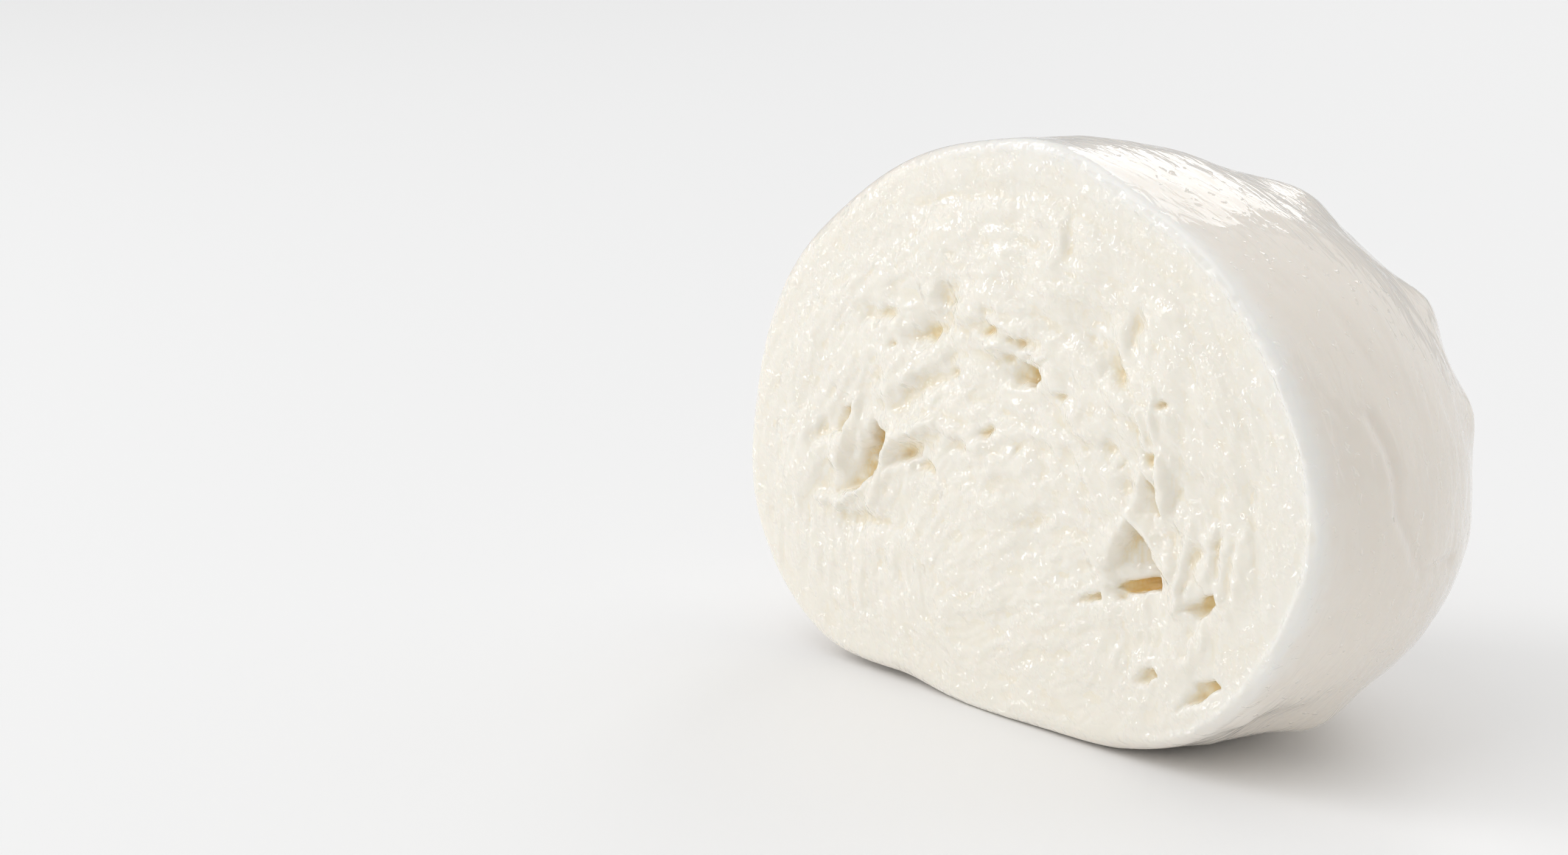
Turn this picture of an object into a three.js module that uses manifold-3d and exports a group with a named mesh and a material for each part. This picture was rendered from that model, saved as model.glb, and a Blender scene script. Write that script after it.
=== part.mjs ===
// Half of a fresh mozzarella ball, cut down its middle, resting on its belly.
// Millimetres, +Z up. The cut face is upright and looks towards -Y, the skin bulges towards +Y.
import * as THREE from "three";
import { mergeVertices } from "three/addons/utils/BufferGeometryUtils.js";
import Module from "manifold-3d";

// The body: a hand-formed outline on the cut plane that closes over DEPTH to a rounded back.
const DEPTH = 40;
const SQUARENESS = 2.5;
const HUB_HEIGHT = 28;

// The outline's radius about the hub every 20 degrees, from the right side and over the top.
const OUTLINE = [41.3, 39.4, 36.2, 33.2, 32.7, 31.5, 32.1, 33.9, 37.6];
OUTLINE.push(40.5, 43.1, 39.9, 31.4, 29.4, 28.6, 31.2, 35.3, 38.6);

// Towards the back the outline smooths to a plain oval, which lies further right and lower.
const BACK_HALF_WIDTH = 41.6;
const BACK_RISE = 32.7;
const BACK_DROP = 29.7;
const OVAL_POWER = 2.2;
const BACK_RIGHT = 3.5;
const BACK_LOW = 3.1;
const BACK_FADE = 2.26;

// The rim, where skin and cut meet: soft on the left and below, crisp with a low lip at the top right.
// It is soft where the cosine of the angle from RIM_CRISP_WAY, in degrees, is under SOFT_COSINE, and
// crisp where that is over CRISP_COSINE.
const RIM_SOFT = 1.7;
const RIM_CRISP = 0.55;
const RIM_CRISP_WAY = 35;
const SOFT_COSINE = -0.2;
const CRISP_COSINE = 0.7;
const LIP_HEIGHT = 0.3;
const LIP_INSET = 0.9;
const LIP_WIDTH = 0.5;

// The relief of the cut fades out between these two distances from the outline.
const CALM_EDGE = 0.4;
const FULL_RELIEF = 2.6;

// Under the crown, where the sine of the angle is over CROWN_BEGINS, the stretched outer layers end in
// a shallow ring. The torn curd inside stands a little proud, and more so under the crown.
const CROWN_BEGINS = 0.75;
const CROWN_FULL = 0.95;
const RING_INSET = 5.2;
const RING_WIDTH = 1;
const RING_DEPTH = 0.2;
const CURD_BEGINS = 4.2;
const CURD_FULL = 9.2;
const CURD_PROUD = 0.3;
const CROWN_PROUD = 0.6;

// Soft waves of the curd: width, length, height, and where in the noise each begins.
const CURD_WAVES = [
  [7.5, 7.5, 0.5, 3.3, 8.1],
  [3.4, 3.4, 0.26, 21.7, 5.4],
];
// Between these two places across the cut the curd comes to be pulled into upright strands as well.
const PULLED_WAVE = [2.6, 12, 0.2, 40.2, 2.6];
const PULL_BEGINS = 12;
const PULL_FULL = 26;

// The body's mean radius, and the sizes of the triangles' edges on the cut and on the skin.
const MEAN_RADIUS = 35.5;
const CUT_STEP = 1.12;
const SKIN_STEP = 2.9;
const CUT_RINGS = 32;
const RIM_RINGS = 3;
const SKIN_RINGS = 20;
const LEAST_POINTS = 6;
// Where the rim's own rings start, as a part of the outline, and how the skin's rings close.
const RIM_START = 0.955;
const RING_CLOSING = 0.8;
// Points nearer than this are one.
const WELD = 1e-4;

// Shallow hollows of the cut: x, z, half length, half width, turn in degrees, depth.
const HOLLOWS = [
  [-9.3, 42.4, 2.4, 1.5, 62, 1],
  [-12, 38.7, 2.6, 1.3, 24, 1.2],
  [-19, 39.3, 3, 1, 6, 0.8],
  [-12.4, 32.8, 5, 1.5, 32, 1],
  [-22.4, 23.6, 4.2, 2.4, 60, 0.7],
  [-15, 25.2, 2.2, 1.2, 35, 1.1],
  [-12, 24.3, 1.6, 0.9, 8, 0.6],
  [-28.4, 25.4, 3, 1, 45, 0.6],
  [-20.5, 17, 4.2, 1.1, 12, 0.6],
  [1.8, 37.6, 3, 1.9, 12, 0.9],
  [-3, 41, 2.4, 1.3, 28, 0.7],
  [17.4, 21.4, 3.4, 2.9, 70, 0.6],
  [14.2, 39.8, 3.2, 1, -38, 0.8],
  [17.5, 43.8, 2, 0.9, 82, 0.7],
  [8, 50.3, 2.3, 0.9, 84, 0.7],
  [14.4, 31.4, 1.8, 1.1, 60, 0.6],
  [19.4, 28.4, 3, 1.5, 96, 0.6],
  [26.2, 23, 1.6, 1, 70, 0.5],
  [30.6, 22, 2.8, 1, 80, 0.4],
  [-33, 47.4, 3, 1.5, 40, 0.4],
  [20.5, 31.8, 1, 0.8, 30, 0.7],
  [8.1, 35.6, 1.2, 0.8, 10, 0.9],
  [21.6, 37.3, 1.2, 0.7, 15, 0.6],
  [-2.4, 29.6, 1.1, 0.8, 20, 0.7],
  [23.6, 27.4, 2.6, 0.9, 80, 0.5],
];

// Folds and strands that stand proud of the cut: two ends as x and z, half width, height.
const FOLDS = [
  [-20.2, 19.4, -18.6, 23.8, 1, 0.6],
  [-18.6, 23.8, -16.4, 27, 1.1, 0.9],
  [-16.4, 27, -10.7, 29.4, 1.1, 0.9],
  [-10.7, 29.4, -4.3, 28.4, 1, 0.5],
  [-19.2, 31.4, -10.6, 36, 1.3, 0.5],
  [-28.6, 17.9, -25.6, 17.9, 0.8, 0.5],
  [-25.6, 17.9, -20.6, 20.8, 0.8, 0.8],
  [-23.2, 29.6, -26, 22.2, 1, 0.6],
  [-18.6, 22.2, -14.6, 24.2, 0.8, 0.5],
  [3.9, 53.1, 7, 52.8, 0.8, 0.4],
  [7, 52.8, 6.9, 50.4, 0.8, 0.7],
  [6.9, 50.4, 5.9, 48.3, 0.8, 0.5],
  [21.6, 31.4, 22.6, 27, 1.2, 1],
  [19.6, 30.4, 18, 26, 0.9, 0.7],
  [17.4, 25.2, 20.4, 23.4, 1, 0.9],
  [20.4, 23.4, 22.4, 21.2, 1.1, 0.9],
  [18, 26, 14.8, 22, 0.9, 0.5],
  [25.8, 25.8, 24.4, 21.4, 0.9, 0.5],
  [24.4, 21.4, 23.4, 17.6, 0.9, 0.5],
  [28.2, 26, 27.2, 21.4, 0.9, 0.5],
  [30.2, 25.4, 29.4, 18.6, 0.9, 0.4],
  [26.6, 14.6, 25, 11.6, 0.9, 0.3],
  [-2.4, 38.9, 4.4, 38.9, 0.8, 0.6],
  [-2, 41.6, 3.4, 41.4, 0.8, 0.4],
  [6, 37.6, 9.6, 34.4, 1.2, 0.4],
];

// Pockets that reach in between the curds: the corners of the mouth, anticlockwise, each as x, z
// and how deep the pocket is there.
const POCKETS = [
  [[17.3, 24.7, 2.6], [14.2, 19, 0.6], [15.2, 17.6, 1], [20.9, 19.4, 2.6], [21.2, 20.4, 3],
    [19.5, 22.5, 3.4]],
  [[14.2, 17.4, 0.9], [15.6, 16.6, 1.6], [20.8, 18.4, 4.8], [21, 19.7, 5.6], [15.6, 18, 2.2]],
  [[19.4, 29.5, 0.7], [18.5, 26.6, 0.4], [20.4, 26, 1.3], [21.5, 26.4, 2.3], [20.9, 27.8, 2.1]],
  [[25, 17.5, 1.2], [26.2, 17.1, 1.6], [28.5, 19, 2.6], [28.3, 19.6, 2.7], [26.4, 18.9, 1.8]],
  [[24.6, 7.7, 0.6], [27, 8.6, 1.2], [29.1, 10.8, 1.7], [28.6, 11.3, 1.8], [26.2, 10, 1.1]],
  [[18.5, 8.8, 0.6], [19.6, 8.9, 0.9], [20.8, 10, 1.4], [20.5, 10.4, 1.4], [19.1, 9.7, 0.9]],
  [[10.6, 15.2, 0.3], [11.8, 15.4, 0.6], [13.3, 16, 1.1], [13.2, 16.6, 1.1], [11.6, 16.1, 0.6]],
  [[-1.4, 36.6, 0.4], [0.4, 35.6, 1.4], [4, 35.4, 3.2], [4.6, 36.8, 3.4], [2.4, 37.8, 1.6]],
  [[-26, 19, 0.5], [-22.6, 20.1, 2.2], [-19.6, 22.8, 4], [-18.7, 25.8, 4.6], [-20.4, 27.6, 3.2]],
  [[-27.6, 25.2, 0.3], [-25.1, 25.8, 1.4], [-24, 28.8, 2], [-25.4, 28, 0.9]],
];
// How far a pocket leans to the right and up for each millimetre that it goes in.
const POCKET_LEAN_X = 0.45;
const POCKET_LEAN_Z = 0.15;
const POCKET_PROUD = 2.5;

// Flaps, folds and dents of the skin: x, depth behind the cut, z, reach, height.
const SKIN_SWELLS = [
  [15.5, 24, 53, 4.2, 1.5],
  [28, 28.5, 43.4, 3.2, 1.3],
  [34.2, 28.9, 34, 2.6, 0.7],
  [28.6, 14.6, 4.8, 3.6, 1.5],
  [30.3, 1.6, 7.4, 2.4, 0.9],
  [30.2, 6.5, 5.2, 3.2, -0.9],
  [-30, 16, 6, 8, 0.8],
  [-34, 20, 40, 9, -0.9],
  [6, 34, 44, 9, 0.8],
  [-12, 36, 24, 9, 0.9],
  [-20, 12, 52, 7, -0.6],
];
// Creases of the skin: two ends as x, depth and z, half width, depth of the crease.
const CREASES = [
  [39.8, 8.5, 37.9, 41.4, 10.2, 33.8, 1.2, 0.45],
  [41.4, 10.2, 33.8, 42.2, 10.5, 28.7, 1.2, 0.45],
  [42.2, 10.5, 28.7, 41.4, 14.4, 22.9, 1.2, 0.4],
  [41.1, 15.3, 22, 39.4, 21.7, 21.8, 1, 0.4],
  [-12, 38, 38, 14, 37.5, 30, 1.8, 0.5],
  [-30, 22, 12, -14, 34, 16, 1.8, 0.45],
];
// The skin's swells begin this far behind the rim, as a part of the way to the middle of the back.
const SWELLS_BEGIN = 0.06;

const TURN = Math.PI / 180;

function smoothstep(low, high, value) {
  const t = THREE.MathUtils.clamp((value - low) / (high - low), 0, 1);
  return t * t * (3 - 2 * t);
}

// A fixed number from -1 to 1 for each corner of a unit grid.
function cornerValue(i, j) {
  const s = Math.sin(i * 127.1 + j * 311.7) * 43758.5453;
  return 2 * (s - Math.floor(s)) - 1;
}

// Smooth lumps from -1 to 1, one to each unit square.
function lumps(x, y) {
  const i = Math.floor(x);
  const j = Math.floor(y);
  const fx = x - i;
  const fy = y - j;
  const sx = fx * fx * (3 - 2 * fx);
  const sy = fy * fy * (3 - 2 * fy);
  const low = cornerValue(i, j) * (1 - sx) + cornerValue(i + 1, j) * sx;
  const high = cornerValue(i, j + 1) * (1 - sx) + cornerValue(i + 1, j + 1) * sx;
  return low * (1 - sy) + high * sy;
}

// A smooth closed curve through radii that are evenly spaced round the hub.
function outlineRadius(angle) {
  const count = OUTLINE.length;
  const turns = angle / (2 * Math.PI);
  const place = (turns - Math.floor(turns)) * count;
  const i = Math.floor(place);
  const t = place - i;
  const [before, from, to, after] = [-1, 0, 1, 2].map((k) => OUTLINE[(i + k + count) % count]);
  const bend = 2 * before - 5 * from + 4 * to - after;
  const twist = 3 * from - before - 3 * to + after;
  return 0.5 * (2 * from + (to - before) * t + bend * t ** 2 + twist * t ** 3);
}

function ovalRadius(angle) {
  const height = Math.sin(angle) > 0 ? BACK_RISE : BACK_DROP;
  const across = Math.abs(Math.cos(angle) / BACK_HALF_WIDTH) ** OVAL_POWER;
  const up = Math.abs(Math.sin(angle) / height) ** OVAL_POWER;
  return (across + up) ** (-1 / OVAL_POWER);
}

// A point of the body's section some way behind the cut plane, `reach` of the way out from its hub.
function sectionPoint(angle, depth, reach) {
  const back = THREE.MathUtils.clamp(depth / DEPTH, 0, 1);
  const formed = (1 - back) ** BACK_FADE;
  const radius = reach * (outlineRadius(angle) * formed + ovalRadius(angle) * (1 - formed));
  const x = radius * Math.cos(angle) + BACK_RIGHT * back;
  const z = HUB_HEIGHT + radius * Math.sin(angle) - BACK_LOW * back;
  return new THREE.Vector3(x, depth, z);
}

// 1 where the rim is crisp, falling to 0 where it is soft.
function rimCrispness(angle) {
  return smoothstep(SOFT_COSINE, CRISP_COSINE, Math.cos(angle - RIM_CRISP_WAY * TURN));
}

function rimRadius(angle) {
  return RIM_SOFT + (RIM_CRISP - RIM_SOFT) * rimCrispness(angle);
}

function segmentDistance(point, start, end) {
  const line = new THREE.Line3(start, end);
  return line.closestPointToPoint(point, true, new THREE.Vector3()).distanceTo(point);
}

function bell(distance, reach) {
  return Math.exp(-((distance / reach) ** 2));
}

// A point's place along and across an oval that is turned in the cut plane.
function ovalPlace(x, z, [middleX, middleZ, length, width, turn]) {
  const c = Math.cos(turn * TURN);
  const s = Math.sin(turn * TURN);
  const dx = x - middleX;
  const dz = z - middleZ;
  return [(dx * c + dz * s) / length, (dz * c - dx * s) / width];
}

function waveHeight(x, z, [width, length, height, beginX, beginZ]) {
  return height * lumps(x / width + beginX, z / length + beginZ);
}

// How deep the cut surface lies behind the cut plane, `inset` in from the outline.
function cutDepth(x, z, angle, inset) {
  const curd = smoothstep(CURD_BEGINS, CURD_FULL, inset);
  const crown = smoothstep(CROWN_BEGINS, CROWN_FULL, Math.sin(angle));
  let depth = crown * RING_DEPTH * bell(inset - RING_INSET, RING_WIDTH);
  depth -= curd * THREE.MathUtils.lerp(CURD_PROUD, CROWN_PROUD, crown);
  for (const layer of CURD_WAVES) depth -= curd * waveHeight(x, z, layer);
  depth -= curd * smoothstep(PULL_BEGINS, PULL_FULL, x) * waveHeight(x, z, PULLED_WAVE);
  for (const hollow of HOLLOWS) {
    const [along, across] = ovalPlace(x, z, hollow);
    depth += hollow[5] * Math.exp(-(along * along + across * across));
  }
  const here = new THREE.Vector3(x, 0, z);
  const rises = FOLDS.map(([x0, z0, x1, z1, reach, height]) => {
    const start = new THREE.Vector3(x0, 0, z0);
    const end = new THREE.Vector3(x1, 0, z1);
    return height * bell(segmentDistance(here, start, end), reach);
  });
  depth -= Math.max(...rises);
  depth *= smoothstep(CALM_EDGE, FULL_RELIEF, inset);
  return depth - rimCrispness(angle) * LIP_HEIGHT * bell(inset - LIP_INSET, LIP_WIDTH);
}

// A point of the cut, `reach` of the way from the hub to the outline.
function cutPoint(angle, reach) {
  const round = rimRadius(angle);
  const inset = outlineRadius(angle) * (1 - reach);
  const { x, z } = sectionPoint(angle, 0, reach);
  const over = Math.max(round - inset, 0);
  const fillet = round - Math.sqrt(Math.max(round * round - over * over, 0));
  return new THREE.Vector3(x, cutDepth(x, z, angle, inset) + fillet, Math.max(z, 0));
}

// The way that the skin looks at a point, as on the egg that the body roughly is.
function skinWay({ x, y, z }) {
  return new THREE.Vector3(x / BACK_HALF_WIDTH, y / DEPTH, (z - HUB_HEIGHT) / BACK_RISE).normalize();
}

// A point of the skin, `sweep` of the way from the rim to the middle of the back.
function skinPoint(angle, sweep) {
  const start = rimRadius(angle);
  const rise = Math.sin((sweep * Math.PI) / 2) ** (2 / SQUARENESS);
  const depth = start + (DEPTH - start) * rise;
  const close = (1 - rise ** SQUARENESS) ** (1 / SQUARENESS);
  const point = sectionPoint(angle, depth, close);
  let swell = 0;
  for (const [x, y, z, reach, height] of SKIN_SWELLS) {
    swell += height * bell(point.distanceTo(new THREE.Vector3(x, y, z)), reach);
  }
  for (const [x0, y0, z0, x1, y1, z1, reach, deep] of CREASES) {
    const from = new THREE.Vector3(x0, y0, z0);
    const to = new THREE.Vector3(x1, y1, z1);
    swell -= deep * bell(segmentDistance(point, from, to), reach);
  }
  point.addScaledVector(skinWay(point), swell * smoothstep(0, SWELLS_BEGIN, sweep));
  point.z = Math.max(point.z, 0);
  return point;
}

// One closed surface from rings of points, each with its own number of them, and a point at each end.
function closedRings(first, rings, last) {
  const positions = [first.x, first.y, first.z];
  const index = [];
  const starts = [];
  for (const ring of rings) {
    starts.push(positions.length / 3);
    for (const p of ring) positions.push(p.x, p.y, p.z);
  }
  const end = positions.length / 3;
  positions.push(last.x, last.y, last.z);
  rings[0].forEach((p, i) => index.push(0, 1 + i, 1 + ((i + 1) % rings[0].length)));
  for (let r = 0; r + 1 < rings.length; r++) {
    const inner = rings[r].length;
    const outer = rings[r + 1].length;
    let i = 0;
    let j = 0;
    while (i < inner || j < outer) {
      const a = starts[r] + (i % inner);
      const b = starts[r + 1] + (j % outer);
      if (j === outer || (i < inner && (i + 1) * outer <= (j + 1) * inner)) {
        index.push(a, b, starts[r] + ((i + 1) % inner));
        i += 1;
      } else {
        index.push(a, b, starts[r + 1] + ((j + 1) % outer));
        j += 1;
      }
    }
  }
  const tail = rings.at(-1);
  const tailStart = starts.at(-1);
  tail.forEach((p, i) => index.push(tailStart + i, end, tailStart + ((i + 1) % tail.length)));
  const geometry = new THREE.BufferGeometry();
  geometry.setAttribute("position", new THREE.Float32BufferAttribute(positions, 3));
  geometry.setIndex(index);
  return geometry;
}

function ring(count, place) {
  return Array.from({ length: count }, (unused, i) => place((i / count) * 2 * Math.PI));
}

function halfBall() {
  const rings = [];
  for (let i = 1; i <= CUT_RINGS; i++) {
    const reach = (i / CUT_RINGS) * RIM_START;
    const around = 2 * Math.PI * MEAN_RADIUS * reach;
    const count = Math.max(Math.round(around / CUT_STEP), LEAST_POINTS);
    rings.push(ring(count, (angle) => cutPoint(angle, reach)));
  }
  const rimCount = rings.at(-1).length;
  for (let i = 1; i <= RIM_RINGS; i++) {
    const reach = RIM_START + (1 - RIM_START) * Math.sin((i / RIM_RINGS) * (Math.PI / 2));
    rings.push(ring(rimCount, (angle) => cutPoint(angle, reach)));
  }
  for (let i = 1; i < SKIN_RINGS; i++) {
    const sweep = i / SKIN_RINGS;
    const around = 2 * Math.PI * MEAN_RADIUS * Math.cos((sweep * Math.PI) / 2) ** RING_CLOSING;
    const count = Math.max(Math.round(around / SKIN_STEP), LEAST_POINTS);
    rings.push(ring(count, (angle) => skinPoint(angle, sweep)));
  }
  return closedRings(cutPoint(0, 0), rings, skinPoint(0, 1));
}

function cutFloor(x, z) {
  const angle = Math.atan2(z - HUB_HEIGHT, x);
  const radius = Math.hypot(x, z - HUB_HEIGHT);
  return cutPoint(angle, radius / outlineRadius(angle)).y;
}

function middle(points) {
  const sum = points.reduce((total, point) => total.add(point), new THREE.Vector3());
  return sum.divideScalar(points.length);
}

// A pocket of the cut: a leaning many-sided block from in front of the face to the pocket's back.
function pocket(corners) {
  const lean = new THREE.Vector3(POCKET_LEAN_X, 1, POCKET_LEAN_Z);
  const place = (x, z, inward) => new THREE.Vector3(x, cutFloor(x, z), z).addScaledVector(lean, inward);
  const front = corners.map(([x, z]) => place(x, z, -POCKET_PROUD));
  const back = corners.map(([x, z, depth]) => place(x, z, depth));
  return closedRings(middle(front), [front, back], middle(back));
}

const wasm = await Module();
wasm.setup();

function toSolid(geometry) {
  const merged = mergeVertices(geometry, WELD);
  const vertProperties = new Float32Array(merged.attributes.position.array);
  const triVerts = new Uint32Array(merged.index.array);
  return new wasm.Manifold(new wasm.Mesh({ numProp: 3, vertProperties, triVerts }));
}

function toGeometry(solid) {
  const mesh = solid.getMesh();
  const geometry = new THREE.BufferGeometry();
  geometry.setAttribute("position", new THREE.BufferAttribute(mesh.vertProperties, 3));
  geometry.setIndex(new THREE.BufferAttribute(mesh.triVerts, 1));
  return geometry;
}

const body = toSolid(halfBall());
const solid = POCKETS.reduce((rest, corners) => rest.subtract(toSolid(pocket(corners))), body);
const geometry = toGeometry(solid);

// The origin is at the bottom, in the middle of the box around the half.
geometry.computeBoundingBox();
const { min, max } = geometry.boundingBox;
geometry.translate(-(min.x + max.x) / 2, -(min.y + max.y) / 2, -min.z);
geometry.computeVertexNormals();

const paste = new THREE.MeshStandardMaterial({ color: 0xece6d8, roughness: 0.32, metalness: 0 });
const half = new THREE.Mesh(geometry, paste);
half.name = "mozzarella_half";

const model = new THREE.Group();
model.add(half);

export default model;
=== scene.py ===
"""Half of a fresh mozzarella ball, cut upright and resting on its belly, on a plain pale floor.

The CAD solid is replaced by one fine mesh of the same form. Shapes are worked out in millimetres
from the cut plane: x to the right, y behind the cut, z up from the floor.
"""
import math

import bpy
import numpy as np
import openvdb
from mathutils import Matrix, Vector


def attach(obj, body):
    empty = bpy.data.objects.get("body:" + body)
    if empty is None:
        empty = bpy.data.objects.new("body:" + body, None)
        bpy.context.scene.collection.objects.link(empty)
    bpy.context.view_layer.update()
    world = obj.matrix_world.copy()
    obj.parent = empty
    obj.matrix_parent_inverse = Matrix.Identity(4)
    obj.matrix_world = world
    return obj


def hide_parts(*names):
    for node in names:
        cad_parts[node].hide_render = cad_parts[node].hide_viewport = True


NODE = "mozzarella_half"
MM = 0.001

# ---------------------------------------------------------------- sizes of the half, in millimetres

# The body: a hand-formed outline on the cut plane that closes over DEPTH to a rounded back.
DEPTH = 40.0
SQUARENESS = 2.5
HUB_HEIGHT = 28.0
# The outline's radius about the hub every 20 degrees, from the right side and over the top.
OUTLINE = np.array([41.3, 39.4, 36.2, 33.2, 32.7, 31.5, 32.1, 33.9, 37.6,
                    40.5, 43.1, 39.9, 31.4, 29.4, 28.6, 31.2, 35.3, 38.6])
# Towards the back the outline smooths to a plain oval, which lies further right and lower.
BACK_HALF_WIDTH = 41.6
BACK_RISE = 32.7
BACK_DROP = 29.7
OVAL_POWER = 2.2
BACK_RIGHT = 3.5
BACK_LOW = 3.1
BACK_FADE = 2.26
# Keeps the distance from the body finite at the hub.
LEAST_REACH = 0.05
FOOT_RADIUS = 0.8

# The rim, where skin and cut meet: crisp with a low lip at the top right, soft at the lower left.
# It is crisp where the cosine of the angle from RIM_CRISP_WAY, in degrees, is over CRISP_COSINE,
# and soft where that is under SOFT_COSINE.
RIM_SOFT = 1.7
RIM_CRISP = 0.55
RIM_CRISP_WAY = 35
SOFT_COSINE = -0.2
CRISP_COSINE = 0.7
LIP_HEIGHT = 0.3
LIP_INSET = 0.9
LIP_WIDTH = 0.5
# The lip's unevenness: waves to a radian round the rim, waves to a millimetre inwards, and share.
LIP_WAVES = [(11, 0.5, 1), (29, 1, 0.6), (67, 1, 0.4)]
LIP_UNEVEN_HEIGHT = 0.5
LIP_UNEVEN_INSET = 0.25

# The relief of the cut fades out between these two distances from the outline.
CALM_EDGE = 0.4
FULL_RELIEF = 2.6

# Under the crown, where the sine of the angle is over CROWN_BEGINS, the stretched outer layers end
# in a shallow ring. The torn curd inside stands a little proud, and more so under the crown.
CROWN_BEGINS = 0.75
CROWN_FULL = 0.95
RING_INSET = 5.2
RING_WIDTH = 1.0
RING_DEPTH = 0.18
CURD_BEGINS = 4.2
CURD_FULL = 9.2
CURD_PROUD = 0.1
CROWN_PROUD = 0.2

# Soft waves of the curd: width, length, height, and where in the noise each begins. Only the share
# FOOT_CALM of them is left up to the height CALM_TOP, and they are full from the height FULL_FROM.
CURD_WAVES = [
    (7.5, 7.5, 0.45, 3.3, 8.1),
    (3.4, 3.4, 0.15, 21.7, 5.4),
]
FOOT_CALM = 0.4
CALM_TOP = 8
FULL_FROM = 20
# On the right the curd is pulled into upright strands as well, which come in between two places.
PULLED_WAVES = [(2.6, 12, 0.12, 40.2, 2.6)]
PULL_BEGINS = 12
PULL_FULL = 26
# How noise pushes the edges of hollows and folds about, across the cut and up it.
RAGGED_ACROSS = [(1.9, 1.5, 0.4, 11, 2), (0.9, 0.8, 0.2, 5, 31)]
RAGGED_UP = [(1.7, 1.6, 0.4, 23, 8), (0.8, 0.9, 0.2, 41, 3)]

# The origin of the frame lies under the middle of the box round the half.
MIDDLE_X = 0.109
MIDDLE_Y = 19.355

# Shallow hollows of the cut: x, z, half length, half width, turn in degrees, depth.
HOLLOWS = [
    (-9.3, 42.4, 2.4, 1.5, 62, 1),
    (-12, 38.7, 2.6, 1.3, 24, 1),
    (-19, 39.3, 3, 0.9, 6, 0.8),
    (-12.4, 32.8, 5, 1.4, 32, 0.7),
    (-22.4, 23.6, 4.2, 2.4, 60, 0.7),
    (-15, 25.2, 2.2, 1.1, 35, 1.1),
    (-12, 24.3, 1.5, 0.7, 8, 0.7),
    (-28.4, 25.4, 3, 1, 45, 0.6),
    (-20.5, 17, 4.2, 1, 12, 0.6),
    (1.8, 37.6, 3, 1.8, 12, 1),
    (-3, 41, 2.4, 1.3, 28, 0.8),
    (17.4, 21.4, 3.4, 2.9, 70, 0.5),
    (14.2, 39.8, 3.2, 0.9, -38, 0.7),
    (17.5, 43.8, 2, 0.8, 82, 0.6),
    (8.2, 50.3, 2.3, 0.8, 84, 0.3),
    (14.4, 31.4, 1.8, 1.1, 60, 0.6),
    (19.4, 28.4, 3, 1.5, 96, 0.5),
    (26.2, 23, 1.6, 0.9, 70, 0.5),
    (30.6, 22, 2.8, 0.9, 80, 0.35),
    (-33, 47.4, 3, 1.5, 40, 0.4),
    (-11.8, 38.4, 1.6, 0.7, 20, 0.3),
    (-17.2, 36.8, 0.6, 0.4, 25, 0.4),
    (-2.6, 40.3, 1.1, 0.5, 25, 0.7),
    (0.3, 39.7, 0.8, 0.45, 20, 0.6),
    (1.9, 40, 0.8, 0.45, 30, 0.6),
    (8.1, 35.7, 1.2, 0.5, 10, 0.9),
    (21.6, 37.3, 0.9, 0.45, 15, 0.7),
    (20.5, 31.8, 0.8, 0.6, 30, 0.9),
    (-8, 34.8, 0.7, 0.5, 30, 0.4),
    (-2.4, 29.7, 0.9, 0.6, 20, 0.7),
    (1.8, 28.6, 0.8, 0.45, 50, 0.4),
    (15.4, 39, 1.8, 0.6, -38, 0.3),
    (16.2, 30.3, 0.9, 0.4, 50, 0.4),
    (23.6, 27.4, 2.6, 0.7, 80, 0.5),
    (25, 19.8, 1.4, 0.5, 75, 0.3),
    (28.9, 24.8, 1.6, 0.5, 80, 0.3),
]

# Folds and strands that stand proud of the cut: two ends as x and z, half width, height.
FOLDS = [
    (-20.2, 19.4, -18.6, 23.8, 0.9, 0.6),
    (-18.6, 23.8, -16.4, 27, 1, 0.9),
    (-16.4, 27, -10.7, 29.4, 1, 0.9),
    (-10.7, 29.4, -4.3, 28.4, 0.9, 0.5),
    (-19.2, 31.4, -10.6, 36, 1.3, 0.35),
    (-28.6, 17.9, -25.6, 17.9, 0.7, 0.5),
    (-25.6, 17.9, -20.6, 20.8, 0.7, 0.8),
    (-23.2, 29.6, -26, 22.2, 0.9, 0.6),
    (-18.6, 22.2, -14.6, 24.2, 0.7, 0.5),
    (3.9, 53.1, 7, 52.8, 0.6, 0.2),
    (7, 52.8, 6.9, 50.4, 0.7, 0.32),
    (6.9, 50.4, 5.9, 48.3, 0.7, 0.25),
    (21.6, 31.4, 22.6, 27, 1.4, 1),
    (19.6, 30.4, 18, 26, 1.1, 0.7),
    (17.4, 25.2, 20.4, 23.4, 1.2, 0.9),
    (20.4, 23.4, 22.4, 21.2, 1.3, 0.9),
    (18, 26, 14.8, 22, 1.1, 0.6),
    (25.8, 25.8, 24.4, 21.4, 0.8, 0.35),
    (24.4, 21.4, 23.4, 17.6, 0.8, 0.4),
    (28.2, 26, 27.2, 21.4, 0.8, 0.35),
    (30.2, 25.4, 29.4, 18.6, 0.8, 0.3),
    (32.4, 26.6, 31.6, 20.4, 0.7, 0.25),
    (26.6, 14.6, 25, 11.6, 0.9, 0.3),
    (20.2, 38.6, 21.2, 34.2, 0.5, 0.3),
    (18.6, 35.6, 20, 32.6, 0.5, 0.3),
    (-2.4, 38.9, 4.4, 38.9, 0.7, 0.6),
    (-2, 41.6, 3.4, 41.4, 0.7, 0.4),
    (-1.2, 37.8, 0.4, 39.4, 0.5, 0.4),
    (2.8, 37.9, 5.4, 39.4, 0.5, 0.5),
    (6, 37.6, 9.6, 34.4, 1.2, 0.4),
]

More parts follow.
